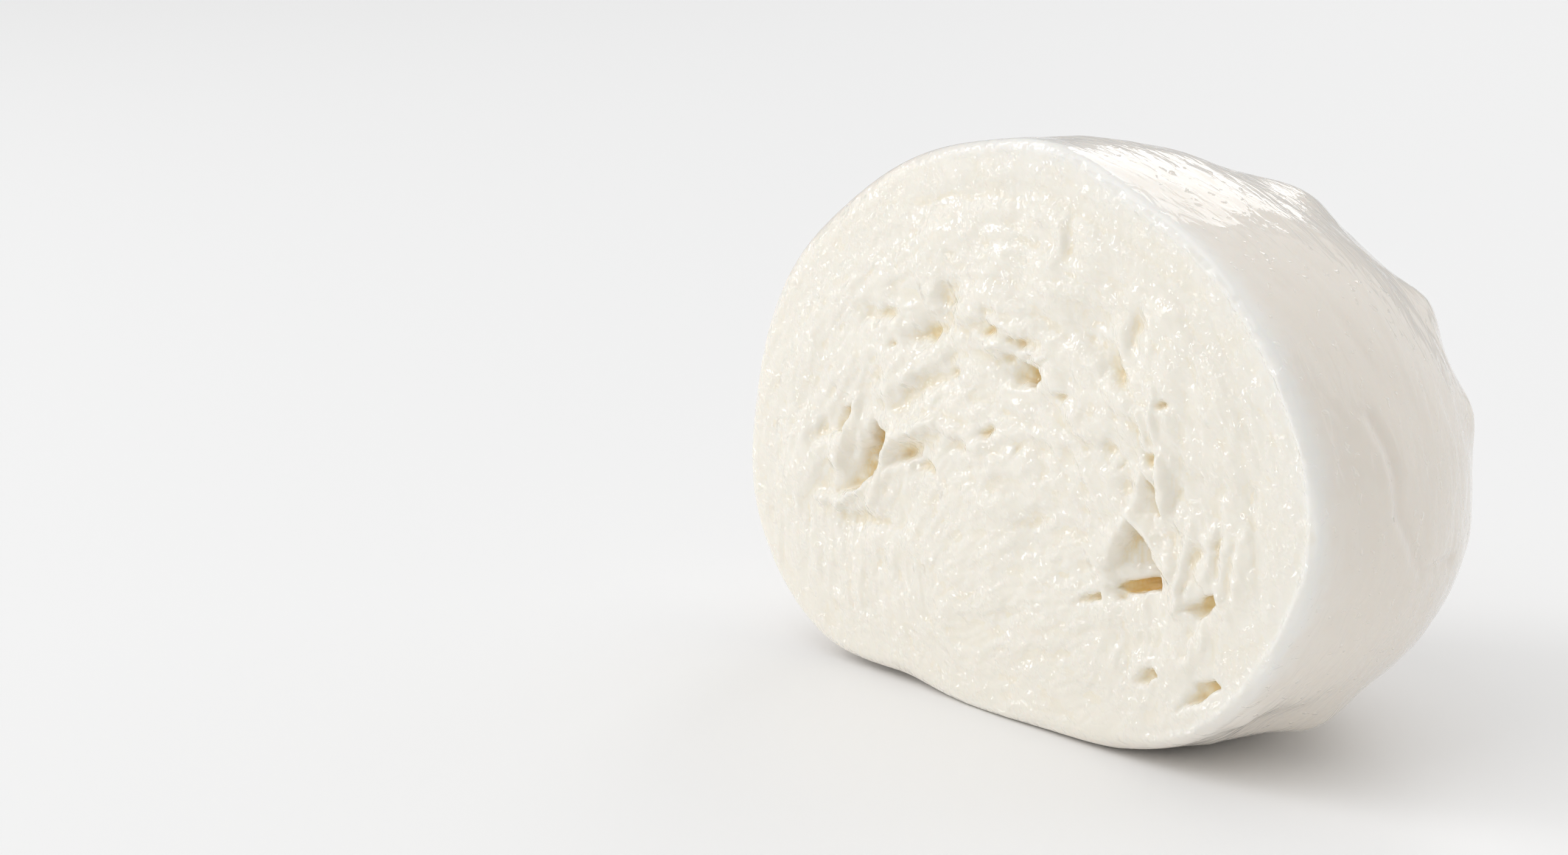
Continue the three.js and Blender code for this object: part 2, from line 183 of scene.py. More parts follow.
# Pockets that reach in between the curds: the mouth's corners, each as x, z and the depth there.
POCKETS = [
    [(17.3, 24.7, 2.6), (14.2, 19, 0.6), (15.2, 17.6, 1), (20.9, 19.4, 2.6), (21.2, 20.4, 3),
     (19.5, 22.5, 3.4)],
    [(14.2, 17.4, 0.9), (15.6, 16.6, 1.6), (20.8, 18.4, 4.8), (21, 19.7, 5.6), (15.6, 18, 2.2)],
    [(19.4, 29.5, 0.7), (18.5, 26.6, 0.4), (20.4, 26, 1.3), (21.5, 26.4, 2.3), (20.9, 27.8, 2.1)],
    [(25, 17.5, 1), (26.2, 17.1, 1.4), (28.5, 19, 2.2), (28.3, 19.6, 2.4), (26.4, 18.9, 1.6)],
    [(24.6, 7.7, 0.6), (27, 8.6, 1.2), (29.1, 10.8, 1.7), (28.6, 11.3, 1.8), (26.2, 10, 1.1)],
    [(18.5, 8.8, 0.6), (19.6, 8.9, 0.9), (20.8, 10, 1.4), (20.5, 10.4, 1.4), (19.1, 9.7, 0.9)],
    [(10.6, 15.2, 0.3), (11.8, 15.4, 0.6), (13.3, 16, 1.1), (13.2, 16.6, 1.1), (11.6, 16.1, 0.6)],
    [(-1.4, 36.6, 0.4), (0.4, 35.6, 1.4), (4, 35.4, 3.2), (4.6, 36.8, 3.4), (2.4, 37.8, 1.6)],
    [(-26, 19, 0.5), (-22.6, 20.1, 2.2), (-19.6, 22.8, 4), (-18.7, 25.8, 4.6), (-20.4, 27.6, 3.2)],
    [(-27.6, 25.2, 0.3), (-25.1, 25.8, 1.4), (-24, 28.8, 2), (-25.4, 28, 0.9)],
]
# How far a pocket leans to the right and up for each millimetre that it goes in.
POCKET_LEAN_X = 0.45
POCKET_LEAN_Z = 0.15
# How far a pocket is rounded at its mouth and at its back.
POCKET_EDGE = 0.65
POCKET_BACK_EDGE = 0.5
# The lumps on a pocket's walls: their width, height and depth, how far they stand out, and where in
# the noise they begin.
POCKET_LUMPS = [(1.1, 0.9, 1.2, 0.2, 5), (4, 0.8, 1.5, 0.2, 5)]
# How far the field is worked on before a pocket's corners each way, and past them right, in and up.
POCKET_BEFORE = 2
POCKET_PAST = (4, 3, 3)

# Where the curd is torn rather than sliced: x, z, half length, half width, turn in degrees.
TORN_ZONES = [
    (-6, 40, 13, 4.5, 8),
    (-18, 30, 12, 5, 42),
    (6, 37, 9, 4, -15),
    (19, 34, 4, 7, 0),
    (15, 40, 6, 4, -30),
    (1, 27, 9, 4.5, 10),
]
TORN_MOST = 0.95

# The curd's strands run round this point from CORE_OUTER outwards, and slantwise within CORE_INNER.
FLOW_X = 2.0
FLOW_Z = 14.0
CORE_SLANT = 25
CORE_INNER = 7.2
CORE_OUTER = 16.8

# Overlapping soft lumps and strands of curd, laid along the flow: how many, shortest and longest
# half length, width as a part of that, height where the curd is sliced and where it is torn, how
# far their ways stray in radians, and how many cells each way the layer is softened.
LUMP_LAYERS = [
    (900, 1.8, 5.0, 0.45, 0.24, 0.75, 0.35, 3),
    (3500, 0.6, 1.8, 0.42, 0.16, 0.24, 0.35, 2),
    (2600, 2.0, 6.0, 0.11, 0.13, 0.12, 0.15, 1),
    (7000, 0.32, 0.7, 0.5, 0.06, 0.06, 0.35, 1),
]
LUMP_SEED = 5
# The part of the cut plane that lumps are strewn over, and how their widths and heights vary.
LUMPS_ACROSS = (-43, 42)
LUMPS_UP = (0, 61)
WIDTH_VARIES = (0.7, 1.3)
TOP_VARIES = (0.35, 1)
# How much of the lumps shows outside the curd.
OUTER_LUMPS = 0.5

# The skin's relief comes in between these two depths behind the cut.
SKIN_BEGINS = 1
SKIN_FULL = 4
# Flaps, folds and dents of the skin: x, depth behind the cut, z, reach, height.
SKIN_SWELLS = [
    (15.5, 24, 53, 4.2, 1.5),
    (28, 28.5, 43.4, 3.2, 1.3),
    (34.2, 28.9, 34, 2.6, 0.7),
    (28.6, 14.6, 4.8, 3.6, 1.5),
    (30.3, 1.6, 7.4, 2.4, 0.9),
    (30.2, 6.5, 5.2, 3.2, -0.9),
    (-30, 16, 6, 8, 0.8),
    (-34, 20, 40, 9, -0.9),
    (6, 34, 44, 9, 0.8),
    (-12, 36, 24, 9, 0.9),
    (-20, 12, 52, 7, -0.6),
]
# Creases of the skin: two ends as x, depth and z, half width, depth of the crease.
CREASES = [
    ((39.8, 8.5, 37.9), (41.4, 10.2, 33.8), 0.7, 0.4),
    ((41.4, 10.2, 33.8), (42.2, 10.5, 28.7), 0.7, 0.4),
    ((42.2, 10.5, 28.7), (41.4, 14.4, 22.9), 0.7, 0.35),
    ((41.1, 15.3, 22), (39.4, 21.7, 21.8), 0.7, 0.35),
    ((-12, 38, 38), (14, 37.5, 30), 1.8, 0.5),
    ((-30, 22, 12), (-14, 34, 16), 1.8, 0.45),
]
# Fine streaks that run round the skin, and broader waves: length round it, width, height, and where
# in the noise each begins. The streaks wander to and fro like one more such wave, and slant by
# STREAK_SLANT for each millimetre round the skin.
STREAKS = [(5, 1.2, 0.05, 0, 0), (3.2, 2.3, 0.05, 20, 8)]
STREAK_WANDER = [(4, 5, 1.2, 50, 17)]
STREAK_SLANT = 0.05
BROAD_WAVES = [(6.5, 5, 0.13, 3, 12), (2.6, 2, 0.052, 30, 5)]
# The skin's angles are turned into lengths at this radius.
ARC_RADIUS = 35
# Cosines of the angle from the left between which the left side's own set of waves comes in.
LEFT_BEGINS = 0.5
LEFT_FULL = 0.9
# Streaks and waves come in between these two distances from the hub's axis.
MIDDLE_CALM = 3
MIDDLE_FULL = 18

# The sampling grid that the fine mesh is drawn through, and the size of its coarse cells.
VOXEL = 0.2
CELL = 10
GRID_LOW = np.array([-44.0, -3.0, -1.5])
GRID_HIGH = np.array([44.0, 42.0, 62.5])
BAND = 3.2
# Half the diagonal of a coarse cell, and a little more, as a part of its side.
CELL_REACH = 0.9
# How many points of the grid are worked out at once.
BATCH = 500_000

# ---------------------------------------------------------------- looks

# Where the material turns from cut to skin, as distances outside the body.
SKIN_INNER = -1.1
SKIN_OUTER = -0.25
# The bare rim's pale edge and the haze beside it: reach and strength of each.
RIM_BANDS = [(1.3, 0.6), (3.6, 0.3)]
# The ragged edge of the pale rim: waves to a radian, and strength.
RIM_RAGGED = [(13, 0.3), (41, 0.3)]
# How closed in by curd a place is, which sets the painted shade in hollows and pockets: the field
# there, cut off at CLOSED_CLIP each way and averaged over a box that reaches CLOSED_REACH each way.
CLOSED_CLIP = 1.5
CLOSED_REACH = 1.6
# How strongly the painted shade, darker and yellower, gathers in a shallow hollow and in a deep
# pocket, and the depths between which the one turns into the other.
SHALLOW_PAINTED_SHADE = 0.6
DEEP_PAINTED_SHADE = 1.3
DEEP_BEGINS = 0.5
DEEP_FULL = 2.2

# The curd's own colour, then painted shade that darkens and yellows it the more it is closed in.
CURD_AND_PAINTED_SHADE_COLOURS = [
    (0.08, (0.93, 0.88, 0.785, 1)),
    (0.24, (0.905, 0.82, 0.64, 1)),
    (0.5, (0.89, 0.69, 0.33, 1)),
    (0.85, (0.84, 0.56, 0.18, 1)),
]
SKIN_COLOUR = (0.90, 0.835, 0.75, 1)
RIM_COLOUR = (0.95, 0.93, 0.89, 1)
FLOOR_COLOUR = (0.96, 0.96, 0.96, 1)
# Depth of the film's relief, in millimetres, as the flesh shows it and as the wet coat does.
FLESH_BUMP = 0.08
COAT_BUMP = 0.85
# How deep the skin's fibres are beside its beads of whey.
FIBRE_SHARE = 0.2

# The camera: degrees round to the right of the cut and up, distance and aim in millimetres.
CAMERA_AZIMUTH = 50
CAMERA_ELEVATION = 14
CAMERA_DISTANCE = 397.7
CAMERA_AIM = (-35.1, 0, 24.1)

# Softboxes: name, degrees round and up, distance, width and height in metres, power in watts.
SOFTBOXES = [
    ("back_softbox", 213, 33, 0.9, 0.25, 0.5, 0.62),
    ("side_softbox", 165, 25, 1.2, 1.2, 1.2, 2.2),
    ("high_softbox", -10, 55, 1.1, 0.8, 0.8, 2.3),
    ("fill_softbox", 45, 30, 1.1, 0.9, 0.9, 0.5),
    ("front_softbox", -50, 34, 1.0, 0.36, 0.36, 1.25),
    ("low_softbox", -50, 10, 1.0, 0.28, 0.28, 1.4),
]
# The softboxes aim at this height above the floor, in metres.
LIGHT_AIM_HEIGHT = 0.03
# The strength of the white world and of the broad sky panel, and the panel's spread and turn about
# x and y in degrees.
STUDIO_LIGHT = 0.46
SKY_LIGHT = 0.45
SKY_SPREAD = 60
SKY_TURN_X = -10
SKY_TURN_Y = 4

# ---------------------------------------------------------------- noise


def smoothstep(low, high, value):
    t = np.clip((value - low) / (high - low), 0, 1)
    return t * t * (3 - 2 * t)


def mixed(start, end, share):
    return start + (end - start) * share


def corner_value(i, j):
    """A fixed number from -1 to 1 for each corner of a unit grid."""
    s = np.sin(i * 127.1 + j * 311.7) * 43758.5453
    return 2 * (s - np.floor(s)) - 1


def lumps(x, y):
    """Smooth lumps from -1 to 1, one to each unit square."""
    i, j = np.floor(x), np.floor(y)
    fx, fy = x - i, y - j
    sx, sy = fx * fx * (3 - 2 * fx), fy * fy * (3 - 2 * fy)
    low = corner_value(i, j) * (1 - sx) + corner_value(i + 1, j) * sx
    high = corner_value(i, j + 1) * (1 - sx) + corner_value(i + 1, j + 1) * sx
    return low * (1 - sy) + high * sy


def wave_height(x, y, layers):
    """The sum of layers of lumps, each a width, a length, a height and a start in the noise."""
    return sum(height * lumps(x / width + start_x, y / length + start_y)
               for width, length, height, start_x, start_y in layers)


def turned(x, z, degrees):
    c, s = math.cos(math.radians(degrees)), math.sin(math.radians(degrees))
    return x * c + z * s, z * c - x * s


def bell(distance, reach):
    return np.exp(-((distance / reach) ** 2))


def oval_bell(x, z, middle_x, middle_z, length, width, turn):
    """1 in the middle of a turned oval, falling off like a bell along and across it."""
    along, across = turned(x - middle_x, z - middle_z, turn)
    return np.exp(-((along / length) ** 2) - (across / width) ** 2)


# ---------------------------------------------------------------- the form


def outline_radius(angle):
    """A smooth closed curve through radii that are evenly spaced round the hub."""
    count = len(OUTLINE)
    place = (angle / (2 * math.pi)) % 1 * count
    i = np.floor(place).astype(int)
    t = place - i
    before, start, end, after = (OUTLINE[(i + k) % count] for k in (-1, 0, 1, 2))
    bend = 2 * before - 5 * start + 4 * end - after
    twist = 3 * start - before - 3 * end + after
    return 0.5 * (2 * start + (end - before) * t + bend * t**2 + twist * t**3)


def oval_radius(angle):
    height = np.where(np.sin(angle) > 0, BACK_RISE, BACK_DROP)
    across = np.abs(np.cos(angle) / BACK_HALF_WIDTH) ** OVAL_POWER
    up = np.abs(np.sin(angle) / height) ** OVAL_POWER
    return (across + up) ** (-1 / OVAL_POWER)


def rim_crispness(angle):
    """1 where the rim is crisp, falling to 0 where it is soft."""
    return smoothstep(SOFT_COSINE, CRISP_COSINE, np.cos(angle - math.radians(RIM_CRISP_WAY)))


def rim_radius(angle):
    return mixed(RIM_SOFT, RIM_CRISP, rim_crispness(angle))


def segment_distance(points, start, end):
    """Distance from points, given as a list of coordinate arrays, to a straight piece."""
    line = [b - a for a, b in zip(start, end)]
    along = sum((p - a) * d for p, a, d in zip(points, start, line)) / sum(d * d for d in line)
    t = np.clip(along, 0, 1)
    return np.sqrt(sum((p - a - d * t) ** 2 for p, a, d in zip(points, start, line)))


def torn(x, z):
    """1 where the curd is torn, falling to 0 where the knife has smoothed it."""
    sliced = np.ones_like(x)
    for zone in TORN_ZONES:
        sliced = sliced * (1 - TORN_MOST * oval_bell(x, z, *zone))
    return 1 - sliced


def flow_angle(x, z):
    """The way the strands run, in radians: round the middle, and slantwise inside it."""
    out = np.hypot(x - FLOW_X, z - FLOW_Z)
    around = 2 * (np.arctan2(z - FLOW_Z, x - FLOW_X) - math.pi / 2)
    slant = 2 * math.radians(CORE_SLANT)
    w = smoothstep(CORE_INNER, CORE_OUTER, out)
    across = w * np.cos(around) + (1 - w) * math.cos(slant)
    up = w * np.sin(around) + (1 - w) * math.sin(slant)
    return 0.5 * np.arctan2(up, across)


def lump_layer(axes, layer, chance):
    """Soft lumps laid over one another at random along the strands, as height over the face."""
    count, shortest, longest, slim, sliced_height, torn_height, stray, soft = layer
    height = np.zeros((len(axes[0]), len(axes[2])))
    places = np.stack([chance.uniform(*LUMPS_ACROSS, count), chance.uniform(*LUMPS_UP, count)])
    ways = flow_angle(*places) + chance.normal(0, stray, count)
    lengths = chance.uniform(shortest, longest, count)
    widths = lengths * slim * chance.uniform(*WIDTH_VARIES, count)
    tops = mixed(sliced_height, torn_height, torn(*places)) * chance.uniform(*TOP_VARIES, count)
    for cx, cz, way, length, width, top in zip(*places, ways, lengths, widths, tops):
        i0, i1 = np.searchsorted(axes[0], (cx - length, cx + length))
        k0, k1 = np.searchsorted(axes[2], (cz - length, cz + length))
        x, z = axes[0][i0:i1, None] - cx, axes[2][None, k0:k1] - cz
        c, s = math.cos(way), math.sin(way)
        away = ((x * c + z * s) / length) ** 2 + ((z * c - x * s) / width) ** 2
        part = height[i0:i1, k0:k1]
        lump = np.where(away < 1, top * (1 - away), 0)
        blend = np.clip(top - np.abs(part - lump), 0, None) ** 2 / (4 * top)
        height[i0:i1, k0:k1] = np.maximum(part, lump) + np.where(away < 1, blend * (1 - away), 0)
    return blurred(height, soft)


def curd_texture(axes):
    chance = np.random.default_rng(LUMP_SEED)
    return sum(lump_layer(axes, layer, chance) for layer in LUMP_LAYERS)


def lip_height(angle, inset):
    """The low uneven lip that the skin leaves along the crisp part of the rim."""
    uneven = sum(share * lumps(angle * round_rim, inset * inwards)
                 for round_rim, inwards, share in LIP_WAVES)
    across = bell(inset - LIP_INSET + LIP_UNEVEN_INSET * uneven, LIP_WIDTH)
    return rim_crispness(angle) * LIP_HEIGHT * (1 + LIP_UNEVEN_HEIGHT * uneven) * across


def cut_relief(x, z, texture):
    """How deep the cut surface lies behind the cut plane."""
    angle = np.arctan2(z - HUB_HEIGHT, x)
    inset = outline_radius(angle) - np.hypot(x, z - HUB_HEIGHT)
    curd = smoothstep(CURD_BEGINS, CURD_FULL, inset)
    crown = smoothstep(CROWN_BEGINS, CROWN_FULL, np.sin(angle))
    above_foot = mixed(FOOT_CALM, 1, smoothstep(CALM_TOP, FULL_FROM, z))
    pulled = smoothstep(PULL_BEGINS, PULL_FULL, x)
    depth = crown * RING_DEPTH * bell(inset - RING_INSET, RING_WIDTH)
    depth -= curd * mixed(CURD_PROUD, CROWN_PROUD, crown)
    depth -= curd * above_foot * wave_height(x, z, CURD_WAVES)
    depth -= curd * pulled * wave_height(x, z, PULLED_WAVES)
    wavy_x = x + wave_height(x, z, RAGGED_ACROSS)
    wavy_z = z + wave_height(x, z, RAGGED_UP)
    for *oval, deep in HOLLOWS:
        depth += deep * oval_bell(wavy_x, wavy_z, *oval)
    rise = np.zeros_like(x)
    for x0, z0, x1, z1, reach, height in FOLDS:
        fold = height * bell(segment_distance([wavy_x, wavy_z], (x0, z0), (x1, z1)), reach)
        rise = np.maximum(rise, fold)
    depth -= rise + texture * mixed(OUTER_LUMPS, 1, curd)
    depth *= smoothstep(CALM_EDGE, FULL_RELIEF, inset)
    return depth - lip_height(angle, inset)


def skin_waves(round_arc, y):
    """Fine streaks that run round the skin, and broader waves."""
    y_way = y + wave_height(round_arc, y, STREAK_WANDER) + STREAK_SLANT * round_arc
    return wave_height(round_arc, y_way, STREAKS) + wave_height(round_arc, y, BROAD_WAVES)


def skin_height(x, y, z):
    """How far the skin stands out of the plain body."""
    height = np.zeros_like(x)
    for cx, cy, cz, reach, rise in SKIN_SWELLS:
        away = np.sqrt((x - cx) ** 2 + (y - cy) ** 2 + (z - cz) ** 2)
        height += rise * bell(away, reach)
    for start, end, reach, deep in CREASES:
        height -= deep * bell(segment_distance([x, y, z], start, end), reach)
    # A set of waves has a seam where its angle starts again: the first set at the left, the second
    # at the right. So the left side takes the second set, and the rest the first.
    angle = np.arctan2(z - HUB_HEIGHT, x)
    left = smoothstep(LEFT_BEGINS, LEFT_FULL, -np.cos(angle))
    waves = (1 - left) * skin_waves(angle * ARC_RADIUS, y)
    waves += left * skin_waves(angle % (2 * math.pi) * ARC_RADIUS, y)
    return height + waves * smoothstep(MIDDLE_CALM, MIDDLE_FULL, np.hypot(x, z - HUB_HEIGHT))


def body_distance(x, y, z):
    """Distance outside the plain body, without the cut, and the angle round it."""
    back = np.clip(y / DEPTH, 0, 1)
    dx = x - BACK_RIGHT * back
    dz = z - HUB_HEIGHT + BACK_LOW * back
    angle = np.arctan2(dz, dx)
    out = np.hypot(dx, dz)
    formed = (1 - back) ** BACK_FADE
    radius = outline_radius(angle) * formed + oval_radius(angle) * (1 - formed)
    deep = np.maximum(y, 0)
    reach = ((out / radius) ** SQUARENESS + (deep / DEPTH) ** SQUARENESS) ** (1 / SQUARENESS)
    return np.sqrt(out**2 + deep**2) * (1 - 1 / np.maximum(reach, LEAST_REACH)), angle


def skin_distance(x, y, z):
    """Distance outside the skin, without the cut, and the angle round the body."""
    body, angle = body_distance(x, y, z)
    return body - skin_height(x, y, z) * smoothstep(SKIN_BEGINS, SKIN_FULL, y), angle


def round_and(a, b, radius):
    """Inside both a and b, with the edge between them rounded off."""
    u, v = np.maximum(radius + a, 0), np.maximum(radius + b, 0)
    return np.minimum(-radius, np.maximum(a, b)) + np.hypot(u, v)


def half_field(x, y, z, relief):
    """Distance outside the half: body, skin, cut face and flat foot."""
    skin, angle = skin_distance(x, y, z)
    field = round_and(skin, relief - y, rim_radius(angle))
    return round_and(field, -z, FOOT_RADIUS)


# ---------------------------------------------------------------- the mesh


def sampled_field():
    """The half's field on the fine grid. Far from the surface the coarse grid's value is kept."""
    coarse_step = VOXEL * CELL
    shape = [int((high - low) / coarse_step) for low, high in zip(GRID_LOW, GRID_HIGH)]
    middles = [low + (np.arange(n) + 0.5) * coarse_step for low, n in zip(GRID_LOW, shape)]
    x, y, z = np.meshgrid(*middles, indexing="ij")
    field = half_field(x, y, z, np.zeros_like(x)).astype(np.float32)
    for axis in range(field.ndim):
        field = np.repeat(field, CELL, axis)
    i, j, k = np.nonzero(np.abs(field) < BAND + coarse_step * CELL_REACH)
    axes = [low + np.arange(n * CELL) * VOXEL for low, n in zip(GRID_LOW, shape)]
    face_x, face_z = np.meshgrid(axes[0], axes[2], indexing="ij")
    relief = cut_relief(face_x, face_z, curd_texture(axes))
    for start in range(0, len(i), BATCH):
        part = slice(start, start + BATCH)
        pi, pj, pk = i[part], j[part], k[part]
        field[pi, pj, pk] = half_field(axes[0][pi], axes[1][pj], axes[2][pk], relief[pi, pk])
    return field, axes, relief


def pocket_distance(cx, cz, deep, x, y, z, down):
    """Distance outside a pocket: a leaning many-sided pit with a sloping lumpy back."""
    order = np.argsort(np.arctan2(cz - cz.mean(), cx - cx.mean()))
    cx, cz, deep = cx[order], cz[order], deep[order]
    slope = np.linalg.lstsq(np.stack([cx, cz, np.ones_like(cx)], 1), deep, rcond=None)[0]
    wavy = sum(rise * lumps(x / across + begin, z / up + y / inwards)
               for across, up, inwards, rise, begin in POCKET_LUMPS)
    lean_x = x - POCKET_LEAN_X * np.maximum(down, 0)
    lean_z = z - POCKET_LEAN_Z * np.maximum(down, 0)
    mouth = np.full_like(x, -np.inf)
    for i in range(len(cx)):
        side_x, side_z = cx[i] - cx[i - 1], cz[i] - cz[i - 1]
        outward = (lean_x - cx[i]) * side_z - (lean_z - cz[i]) * side_x
        mouth = np.maximum(mouth, outward / math.hypot(side_x, side_z))
    back = down - (slope[0] * lean_x + slope[1] * lean_z + slope[2]) - wavy
    return round_and(mouth + wavy, back, POCKET_BACK_EDGE)


def sink_pockets(field, axes, relief):
    """Sinks the pockets into the field, each in the block of the grid that it reaches."""
    for corners in POCKETS:
        cx, cz, deep = np.array(corners).T
        low = (cx.min() - POCKET_BEFORE, -POCKET_BEFORE, cz.min() - POCKET_BEFORE)
        high = np.array((cx.max(), deep.max(), cz.max())) + POCKET_PAST
        spot = tuple(slice(*np.searchsorted(axis, (a, b))) for axis, a, b in zip(axes, low, high))
        x, y, z = np.meshgrid(*(axis[s] for axis, s in zip(axes, spot)), indexing="ij")
        down = y - relief[spot[0], spot[2]].mean()
        hole = pocket_distance(cx, cz, deep, x, y, z, down)
        field[spot] = round_and(field[spot], -hole.astype(np.float32), POCKET_EDGE)


def half_mesh():
    field, axes, relief = sampled_field()
    sink_pockets(field, axes, relief)
    grid = openvdb.FloatGrid(background=BAND)
    grid.copyFromArray(np.ascontiguousarray(field))
    places, quads = grid.convertToQuads(isovalue=0)
    places = places * VOXEL + GRID_LOW
    mesh = bpy.data.meshes.new(NODE + "_fine")
    mesh.vertices.add(len(places))
    mesh.loops.add(quads.size)
    mesh.polygons.add(len(quads))
    frame_places = (places - (MIDDLE_X, MIDDLE_Y, 0)) * MM
    mesh.vertices.foreach_set("co", frame_places.ravel().astype(np.float32))
    mesh.loops.foreach_set("vertex_index", quads[:, ::-1].ravel().astype(np.int32))
    mesh.polygons.foreach_set("loop_start", np.arange(0, quads.size, 4, dtype=np.int32))
    mesh.polygons.foreach_set("loop_total", np.full(len(quads), 4, dtype=np.int32))
    mesh.update(calc_edges=True)
    mesh.polygons.foreach_set("use_smooth", np.ones(len(quads), dtype=bool))
    surface_marks(mesh, places, field)
    return mesh


def blurred(field, reach):
    """The field averaged over a box that reaches so many cells each way."""
    for axis in range(field.ndim):
        total = np.cumsum(field, axis=axis, dtype=np.float64)
        cells = np.arange(field.shape[axis])
        ahead = np.take(total, np.clip(cells + reach, 0, len(cells) - 1), axis=axis)
        behind = np.take(total, np.clip(cells - reach, 0, len(cells) - 1), axis=axis)
        field = ((ahead - behind) / (2 * reach)).astype(np.float32)
    return field


def surface_marks(mesh, places, field):
    """Marks each point for the material: skin, bare rim, and painted shade by how closed in it is.
    """
    x, y, z = places.T
    outside, angle = skin_distance(x, y, z)
    skin = smoothstep(SKIN_INNER, SKIN_OUTER, outside)
    inset = outline_radius(angle) - np.hypot(x, z - HUB_HEIGHT)
    ragged = 1 + sum(strength * lumps(angle * count, y) for count, strength in RIM_RAGGED)
    from_edge = np.hypot(np.maximum(inset, 0), np.maximum(y, 0)) / ragged
    pale = sum(strength * bell(from_edge, reach) for reach, strength in RIM_BANDS)
    cells = np.round((places - GRID_LOW) / VOXEL).astype(int)
    near = np.clip(field, -CLOSED_CLIP, CLOSED_CLIP)
    around = blurred(near, round(CLOSED_REACH / VOXEL))[tuple(cells.T)]
    # The painted shade of closed-in places is stronger deeper in, inside the pockets.
    painted_shade_strength = mixed(SHALLOW_PAINTED_SHADE, DEEP_PAINTED_SHADE, smoothstep(DEEP_BEGINS, DEEP_FULL, y))
    marks = {"skin": skin, "rim": rim_crispness(angle) * pale, "painted_hollow_shade": -around * painted_shade_strength}
    for name, values in marks.items():
        mark = mesh.attributes.new(name, "FLOAT", "POINT")
        mark.data.foreach_set("value", values.astype(np.float32))


# ---------------------------------------------------------------- the material


def new_node(tree, kind, **inputs):
    node = tree.nodes.new(kind)
    for name, value in inputs.items():
        node.inputs[name.replace("_", " ")].default_value = value
    return node


def mark_value(tree, name):
    """The value that a point of the mesh carries under this name."""
    node = tree.nodes.new("ShaderNodeAttribute")
    node.attribute_name = name
    return node.outputs["Fac"]


def painted_over(tree, under, colour, share):
    """A colour laid over another, by a share from 0 to 1."""
    node = tree.nodes.new("ShaderNodeMix")
    node.data_type = "RGBA"
    node.inputs["B"].default_value = colour
    tree.links.new(under, node.inputs["A"])
    tree.links.new(share, node.inputs["Factor"])
    return node.outputs["Result"]


def curd_colour_with_shade(tree):
    """The curd's colour with painted shade: darker and yellower where it is closed in."""
    curd = tree.nodes.new("ShaderNodeValToRGB")
    ramp = curd.color_ramp
    for element, colour_stop in zip(ramp.elements, (CURD_AND_PAINTED_SHADE_COLOURS[0], CURD_AND_PAINTED_SHADE_COLOURS[-1])):
        element.position, element.color = colour_stop
    for position, colour in CURD_AND_PAINTED_SHADE_COLOURS[1:-1]:
        ramp.elements.new(position).color = colour
    tree.links.new(mark_value(tree, "painted_hollow_shade"), curd.inputs["Fac"])
    return curd.outputs["Color"]


def film_relief(tree, skin):
    """The relief of the film of whey: smooth in places and crackled in patches on the cut, and run
    out in fibres on the skin, with small beads here and there."""
    link = tree.links.new
    place = tree.nodes.new("ShaderNodeTexCoord").outputs["Object"]
    wet = new_node(tree, "ShaderNodeTexNoise", Scale=880.0, Detail=1.5, Roughness=0.5,
                   Distortion=0.4)
    link(place, wet.inputs["Vector"])
    patches = new_node(tree, "ShaderNodeTexNoise", Scale=300.0, Detail=2.0, Roughness=0.5)
    link(place, patches.inputs["Vector"])
    crackled = new_node(tree, "ShaderNodeMapRange", From_Min=0.44, From_Max=0.58, To_Min=0.3,
                        To_Max=1.0)
    link(patches.outputs["Fac"], crackled.inputs["Value"])
    crackle = tree.nodes.new("ShaderNodeMath")
    crackle.operation = "MULTIPLY"
    link(wet.outputs["Fac"], crackle.inputs[0])
    link(crackled.outputs["Result"], crackle.inputs[1])

    long_way = new_node(tree, "ShaderNodeMapping", Scale=(230, 720, 230))
    link(place, long_way.inputs["Vector"])
    fibres = new_node(tree, "ShaderNodeTexNoise", Scale=1.0, Detail=2.5, Roughness=0.5,
                      Distortion=0.9)
    link(long_way.outputs["Vector"], fibres.inputs["Vector"])
    beads = new_node(tree, "ShaderNodeMapRange", From_Min=0.66, From_Max=0.76, To_Min=0.0,
                     To_Max=0.35)
    link(wet.outputs["Fac"], beads.inputs["Value"])
    beaded_fibres = tree.nodes.new("ShaderNodeMath")
    beaded_fibres.operation = "MULTIPLY_ADD"
    beaded_fibres.inputs[1].default_value = FIBRE_SHARE
    link(fibres.outputs["Fac"], beaded_fibres.inputs[0])
    link(beads.outputs["Result"], beaded_fibres.inputs[2])

    relief = tree.nodes.new("ShaderNodeMix")
    link(skin, relief.inputs["Factor"])
    link(crackle.outputs["Value"], relief.inputs["A"])
    link(beaded_fibres.outputs["Value"], relief.inputs["B"])
    return relief.outputs["Result"]


